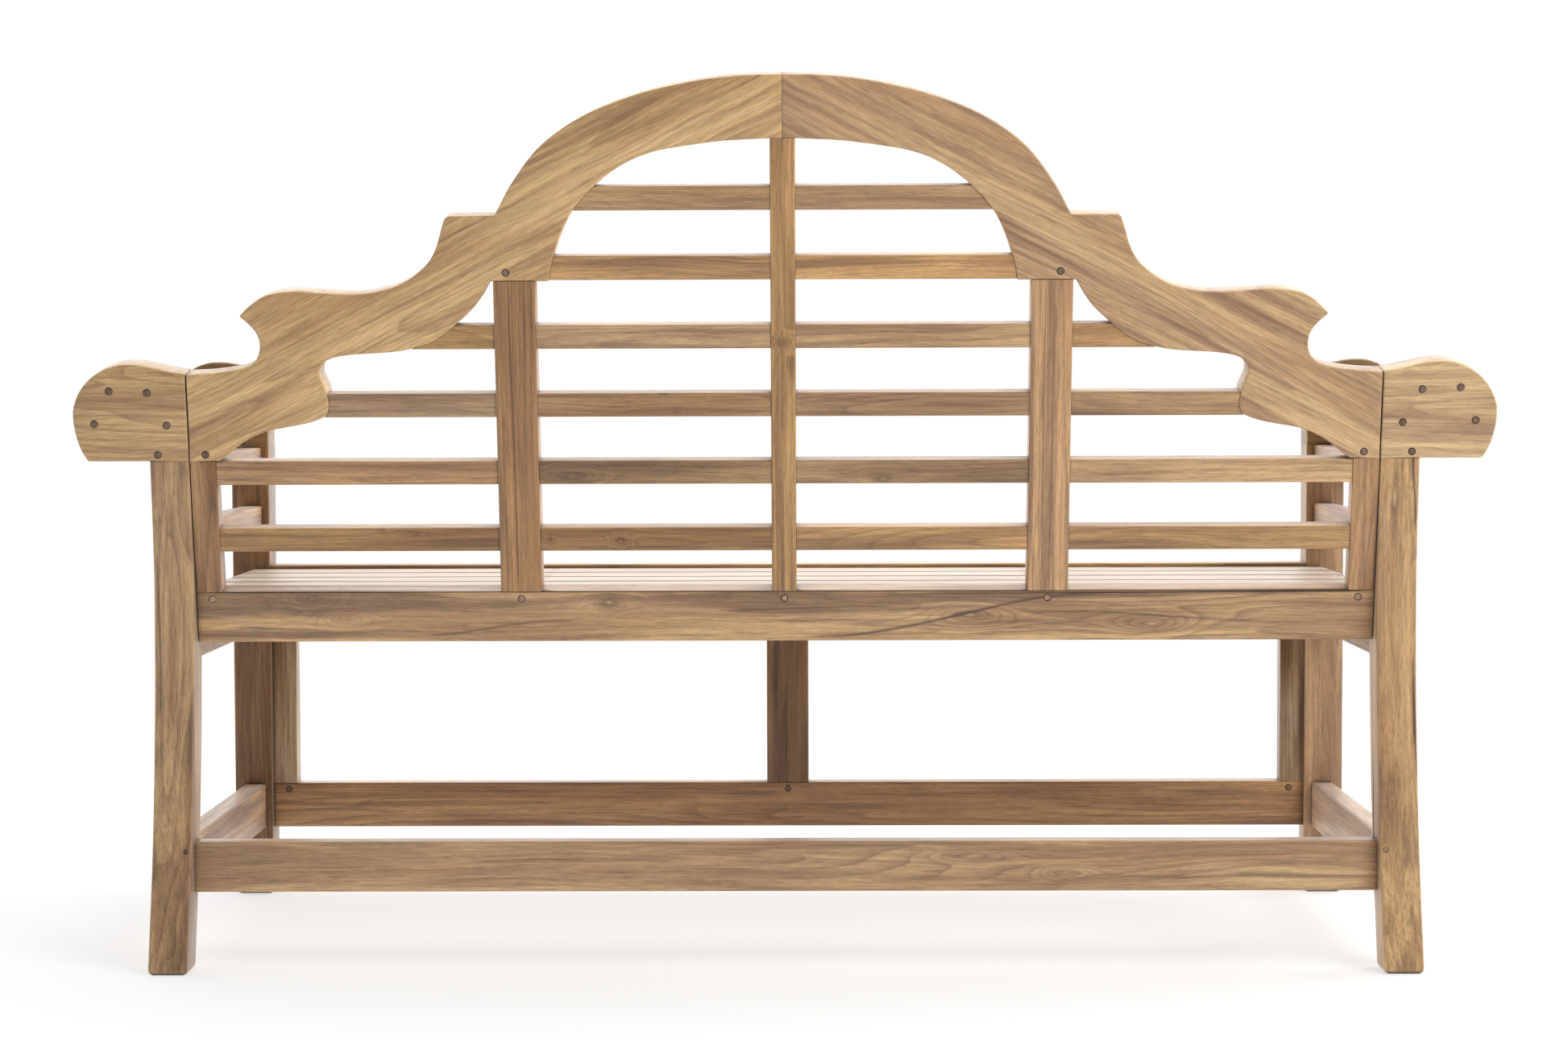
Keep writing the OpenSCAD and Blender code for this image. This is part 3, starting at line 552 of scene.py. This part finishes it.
def teak(name, pale, body, dark, streaks=0.5, rings=30.0, figure=1.0, painted_gap_shade=False, eyes=(), veins=()):
    """Sawn teak. Rings are the contours of a stretched noise, so they run along the board, close into figure,
    and flow round the eyes; the lower the figure, the straighter they are. With gap shade, the sides of the
    board get painted shade, for the shade in the gaps they look into. The scale of a noise is along, across
    and through."""
    t = Tree(name)

    # Mixes in the dark colour: used for the grain's stain, and also for painted shade
    def mixed_with_dark(shade, amount, depth=1.0):
        return t.mix(amount, shade, color(*(c * depth for c in dark)))

    board, swell, stain = wavy(t, t.attribute("board"), figure, eyes, veins)
    stretched = t.noise(board, (0.9 * figure, 13, 13), 1.5, 0.45)
    place = t.math("FRACT", t.times(t.plus(stretched, t.times(swell, 0.14)), rings))
    ring = t.times(t.math("POWER", place, 3.0), t.span(place, 0.94, 1.0, 1.0, 0.0))
    patch = t.span(t.noise(board, (1.5, 14, 14), 1.0), 0.38, 0.62, 0.15, 1.0)
    cloud = t.span(t.noise(board, (2.6, 20, 20), 2.5, 0.6), 0.36, 0.64)
    broad = t.span(t.noise(board, (1.6, 34, 34), 3.0, 0.6), 0.51, 0.66)
    lines = t.span(t.noise(board, (3.0, 120, 120), 2.0, 0.55), 0.55, 0.70)
    bands = t.span(t.noise(board, (1.1, 64, 64), 2.0, 0.5), 0.47, 0.62)
    dashes = t.span(t.noise(board, (26, 640, 640), 1.5, 0.5), 0.58, 0.70)
    fine = t.noise(board, (9, 230, 230), 3.0, 0.65)
    fibre = t.noise(board, (70, 900, 900), 2.0, 0.6)

    shade = t.mix(cloud, color(*pale), color(*body))
    shade = mixed_with_dark(shade, t.times(broad, streaks))
    shade = mixed_with_dark(shade, t.times(bands, 0.42 * streaks))
    shade = mixed_with_dark(shade, t.times(lines, 0.6 * streaks))
    shade = mixed_with_dark(shade, t.times(ring, patch, streaks))
    shade = mixed_with_dark(shade, t.times(dashes, 0.42))
    if eyes or veins:
        shade = mixed_with_dark(shade, t.math("MINIMUM", stain, 0.92, clamp=True), 0.6)

    grain = t.times(t.span(fine, 0.3, 0.7, 0.84, 1.16), t.span(fibre, 0.3, 0.7, 1.12, 0.86))
    # Each board's lightness, which for some boards is painted shade
    grain = t.times(grain, t.attribute("light", "Fac"))
    gray = t.add("ShaderNodeCombineColor", {0: grain, 1: grain, 2: grain})
    shade = t.mix(1.0, shade, gray, "MULTIPLY")
    warm = t.attribute("warm", "Fac")
    hue, fullness = t.span(warm, -1, 1, 0.506, 0.494), t.span(warm, -1, 1, 0.75, 1.25)
    shade = t.add("ShaderNodeHueSaturation", {"Hue": hue, "Saturation": fullness, "Fac": 1.0, "Color": shade})
    # Painted highlight: the rounded edges are made paler, for the light they catch
    painted_edge_highlight = t.times(t.attribute("painted_edge_highlight", "Fac"), 0.35)
    shade = t.mix(painted_edge_highlight, shade, t.mix(0.5, shade, color(*pale)))

    # Painted shade: the upright sides of the boards are darker, for the shade in the gaps between the slats
    if painted_gap_shade:
        up = t.parts(t.add("ShaderNodeNewGeometry", output="True Normal"))[2]
        shade = mixed_with_dark(shade, t.span(t.math("ABSOLUTE", up), 0.965, 0.995, 0.95, 0.0), 0.3)
    # Painted shade: darker in corners and recesses where other surfaces come within 10 mm. The narrow one
    # draws the dark joint lines, together with painted shade in the inner corners
    crevice, seam = t.shelter(10 * MM, 6), t.shelter(1.8 * MM, 4)
    shade = mixed_with_dark(shade, t.span(crevice, 0.05, 0.85, 1.0, 0.0), 0.12)
    shade = mixed_with_dark(shade, t.span(seam, 0.15, 0.8, 0.8, 0.0), 0.2)

    rough = t.span(fine, 0.2, 0.8, 0.48, 0.36)
    height = t.plus(t.plus(t.times(fine, 0.5), t.times(fibre, -0.3)), t.times(dashes, -0.6))
    normal = t.add("ShaderNodeBump", {"Strength": 0.35, "Distance": 0.4 * MM, "Height": height})
    return t.finish(Base_Color=shade, Roughness=rough, Normal=normal, IOR=1.5, Sheen_Weight=0.4,
                    Sheen_Roughness=0.35)


def steel(name):
    t = Tree(name)
    place = t.add("ShaderNodeNewGeometry")
    brushed = t.noise(place, (400, 4000, 4000), 2.0)
    shade = t.mix(brushed, color(0.48, 0.48, 0.47), color(0.66, 0.66, 0.65))
    normal = t.add("ShaderNodeBump", {"Strength": 0.2, "Distance": 0.1 * MM, "Height": brushed})
    rough = t.span(brushed, 0, 1, 0.28, 0.42)
    return t.finish(Base_Color=shade, Metallic=1.0, Roughness=rough, Normal=normal)


def floor_paint_and_glow(name):
    """White paint mixed with a glow of its own, more of the glow away from the bench: painted light, which
    keeps shadows on it faint, shows none far from the bench, and lights the bench from below.
    """
    t = Tree(name)
    place = t.add("ShaderNodeNewGeometry")
    cloud = t.noise(place, (0.6, 0.6, 0.6), 2.0)
    paint = t.nodes.new("ShaderNodeBsdfDiffuse")
    t.put(paint.inputs["Color"], t.mix(cloud, color(0.90, 0.90, 0.90), color(0.94, 0.94, 0.935)))
    # The floor's own glow: painted light
    glow = t.nodes.new("ShaderNodeEmission")
    glow.inputs["Strength"].default_value = 1.03
    far = t.add("ShaderNodeVectorMath", {0: t.scaled(place, (1, 1, 0))}, output=1, operation="LENGTH")
    blend = t.nodes.new("ShaderNodeMixShader")
    t.put(blend.inputs[0], t.span(far, 0.8, 3.5, 0.6, 1.0))
    t.put(blend.inputs[1], paint.outputs[0])
    t.put(blend.inputs[2], glow.outputs[0])
    out = t.nodes.new("ShaderNodeOutputMaterial")
    t.links.new(blend.outputs[0], out.inputs[0])
    return t.material


HONEY = dict(pale=(0.65, 0.43, 0.20), body=(0.49, 0.295, 0.133), dark=(0.24, 0.12, 0.062))
TAN = dict(pale=(0.61, 0.385, 0.185), body=(0.44, 0.255, 0.122), dark=(0.165, 0.090, 0.055))
BROWN = dict(pale=(0.56, 0.335, 0.165), body=(0.39, 0.22, 0.112), dark=(0.125, 0.068, 0.045))
PALE = dict(pale=(0.60, 0.455, 0.29), body=(0.48, 0.345, 0.205), dark=(0.26, 0.16, 0.095))
PEG = dict(pale=(0.26, 0.16, 0.10), body=(0.17, 0.10, 0.066), dark=(0.06, 0.035, 0.026))

MATERIALS = {
    "teak_honey": teak("teak_honey", **HONEY, streaks=0.6, rings=24),
    "teak_tan": teak("teak_tan", **TAN, streaks=0.6, rings=30),
    "teak_brown": teak("teak_brown", **BROWN, streaks=0.6, rings=30, figure=0.6),
    "teak_pale": teak("teak_pale", **PALE, streaks=0.5, rings=28, painted_gap_shade=True),
    "teak_peg": teak("teak_peg", **PEG, streaks=0.5, rings=40),
    "stainless_steel": steel("stainless_steel"),
}

# Boards with a colour, knots or dark lines of their own
KNOTTY = dict(TAN, streaks=0.6, rings=28)
OWN_BOARDS = {
    "back_bottom_rail": dict(
        TAN, streaks=0.7, rings=28,
        eyes=(Eye(0.554, 0.022, 0.035, 0.012, 0.6), Eye(0.518, -0.002, 0.030, 0.010, 0.3),
              Eye(0.206, 0.017, 0.030, 0.014, 0.8), Eye(-0.218, 0.001, 0.045, 0.013, 0.75),
              Eye(-0.431, -0.010, 0.045, 0.012, 0.65)),
        veins=(Vein((0.07, 0.006), (-0.12, 0.010), 0.0013, 0.7),
               Vein((-0.05, -0.024), (-0.36, 0.026), 0.0017, 0.85),
               Vein((0.64, -0.012), (0.53, -0.018), 0.0022, 0.45),
               Vein((0.42, -0.022), (0.25, -0.006), 0.0016, 0.6),
               Vein((-0.30, 0.004), (-0.62, -0.008), 0.0016, 0.5))),
    "back_muntin": dict(TAN, streaks=0.65, rings=26, figure=0.4, eyes=(Eye(0.036, 0.0, 0.008, 0.018, 0.5),)),
    "back_post_left": dict(BROWN, streaks=0.6, rings=26, figure=0.35,
                           veins=(Vein((-0.18, 0.003), (0.18, 0.008), 0.0009, 0.75),)),
    "back_post_right": dict(BROWN, streaks=0.7, rings=30, figure=0.25,
                            veins=(Vein((-0.18, 0.008), (0.18, 0.008), 0.0008, 0.6),
                                   Vein((-0.18, -0.001), (0.18, -0.002), 0.0007, 0.5))),
    "back_slat_4_inner_left": dict(KNOTTY, eyes=(Eye(-0.027, -0.008, 0.007, 0.005, 0.5),),
                                   veins=(Vein((-0.017, 0.0125), (-0.005, 0.0125), 0.0009, 0.95),)),
    "back_slat_5_inner_right": dict(KNOTTY, eyes=(Eye(0.034, -0.008, 0.024, 0.012, 0.7),)),
    "back_slat_5_inner_left": dict(KNOTTY, eyes=(Eye(0.097, -0.004, 0.034, 0.010, 0.6),)),
    "back_slat_6_inner_left": dict(KNOTTY, eyes=(Eye(0.041, -0.002, 0.012, 0.010, 0.6),
                                                 Eye(0.123, 0.0, 0.005, 0.005, 0.8))),
    "back_slat_6_outer_left": dict(KNOTTY, eyes=(Eye(-0.061, 0.007, 0.026, 0.007, 0.35),)),
    "rear_stretcher": dict(TAN, streaks=0.6, rings=26, eyes=(Eye(-0.328, -0.008, 0.030, 0.008, 0.4),
                                                             Eye(-0.215, 0.012, 0.050, 0.008, 0.3))),
    "crest_rail_right": dict(pale=(0.64, 0.405, 0.195), body=(0.48, 0.275, 0.132), dark=(0.22, 0.11, 0.063),
                             streaks=0.65, rings=20),
    "rear_leg_right": dict(
        TAN, streaks=0.6, rings=26, figure=0.7,
        eyes=(Eye(0.235, 0.005, 0.080, 0.009, 0.75), Eye(-0.02, -0.020, 0.050, 0.003, 0.8)),
        veins=(Vein((0.31, -0.012), (0.20, -0.018), 0.0011, 0.9),
               Vein((0.05, -0.019), (-0.09, -0.021), 0.0012, 0.8))),
    "rear_leg_left": dict(TAN, streaks=0.6, rings=26, figure=0.5,
                          veins=(Vein((0.16, 0.019), (-0.02, 0.017), 0.0016, 0.7),)),
}
OWN_TEAK = {node: teak(node + "_teak", **look) for node, look in OWN_BOARDS.items()}

# ---------------------------------------------------------------- the bench

rods = cylinders(FASTENERS)
shells = {name: clean_solid(name) for name in NODES}
solids = Solids(shells)
for index, name in enumerate(TIMBER):
    timber_piece(name, shells[name], solids, rods, random.Random(100 + index))
for index, name in enumerate(PEGS):
    peg_piece(name, random.Random(7 + index))
for name in STEEL:
    mesh = frame["nodes"][name].data
    mesh.materials.clear()
    mesh.materials.append(MATERIALS[SLOTS[name]])

# ---------------------------------------------------------------- studio


def floor():
    mesh = bpy.data.meshes.new("studio_floor")
    bm = bmesh.new()
    bmesh.ops.create_circle(bm, cap_ends=True, segments=96, radius=30)
    bm.to_mesh(mesh)
    bm.free()
    obj = bpy.data.objects.new("studio_floor", mesh)
    bpy.context.scene.collection.objects.link(obj)
    mesh.materials.append(floor_paint_and_glow("floor_paint_and_glow"))


def softbox(name, place, aim, size, power, tint=(1, 1, 1)):
    data = bpy.data.lights.new(name, "AREA")
    data.shape = "RECTANGLE"
    data.size, data.size_y = size
    data.energy = power
    data.color = tint
    obj = bpy.data.objects.new(name, data)
    bpy.context.scene.collection.objects.link(obj)
    obj.location = place
    obj.rotation_mode = "QUATERNION"
    obj.rotation_quaternion = (Vector(aim) - Vector(place)).to_track_quat("-Z", "Y")


def surroundings():
    """White walls all round: white where the camera looks past the bench. As a light, the wall that the
    sitter faces is the brightest, and the side of the camera is dim."""
    world = bpy.data.worlds.new("studio")
    bpy.context.scene.world = world
    world.use_nodes = True
    nodes, links = world.node_tree.nodes, world.node_tree.links
    nodes.clear()
    direction = nodes.new("ShaderNodeTexCoord")
    split = nodes.new("ShaderNodeSeparateXYZ")
    links.new(direction.outputs["Generated"], split.inputs[0])
    wall = nodes.new("ShaderNodeMapRange")
    for key, value in (("From Min", -0.9), ("From Max", 0.8), ("To Min", 2.0), ("To Max", 0.05)):
        wall.inputs[key].default_value = value
    links.new(split.outputs["Y"], wall.inputs["Value"])
    out = nodes.new("ShaderNodeOutputWorld")
    seen = nodes.new("ShaderNodeBackground")
    seen.inputs["Color"].default_value = (1, 1, 1, 1)
    seen.inputs["Strength"].default_value = 1.02
    lit = nodes.new("ShaderNodeBackground")
    lit.inputs["Color"].default_value = (1, 0.99, 0.98, 1)
    links.new(wall.outputs[0], lit.inputs["Strength"])
    path = nodes.new("ShaderNodeLightPath")
    mix = nodes.new("ShaderNodeMixShader")
    links.new(path.outputs["Is Camera Ray"], mix.inputs[0])
    links.new(lit.outputs[0], mix.inputs[1])
    links.new(seen.outputs[0], mix.inputs[2])
    links.new(mix.outputs[0], out.inputs[0])


def camera():
    """Behind the bench and a little above the seat, turned by a degree or less as the picture was."""
    yaw, pitch, roll = math.radians(-0.492), math.radians(2.835), math.radians(0.175)
    data = bpy.data.cameras.new("camera")
    data.sensor_width = 36
    data.lens = 66.52
    stand = Vector((-0.029, 3.599, 0.6816))
    obj = bpy.data.objects.new("camera", data)
    bpy.context.scene.collection.objects.link(obj)
    right = Vector((-math.cos(yaw), math.sin(yaw), 0))
    ahead = Vector((-math.sin(yaw), -math.cos(yaw), 0))
    up = Z_AXIS * math.cos(pitch) + ahead * math.sin(pitch)
    look = ahead * math.cos(pitch) - Z_AXIS * math.sin(pitch)
    turned_right = right * math.cos(roll) - up * math.sin(roll)
    turned_up = right * math.sin(roll) + up * math.cos(roll)
    turn = Matrix((turned_right, turned_up, -look)).transposed().to_4x4()
    obj.matrix_world = Matrix.Translation(stand) @ turn
    bpy.context.scene.camera = obj


floor()
surroundings()
softbox("key", (-2.6, 2.4, 3.2), (0, 0, 0.5), (2.2, 2.2), 100, (1, 0.985, 0.96))
softbox("top", (-0.3, -0.8, 3.6), (0, 0, 0.4), (3.5, 2.5), 25)
softbox("side", (-4.2, -1.4, 1.3), (0, 0, 0.5), (2.0, 2.0), 90)
camera()
bpy.context.scene.view_settings.view_transform = "Standard"
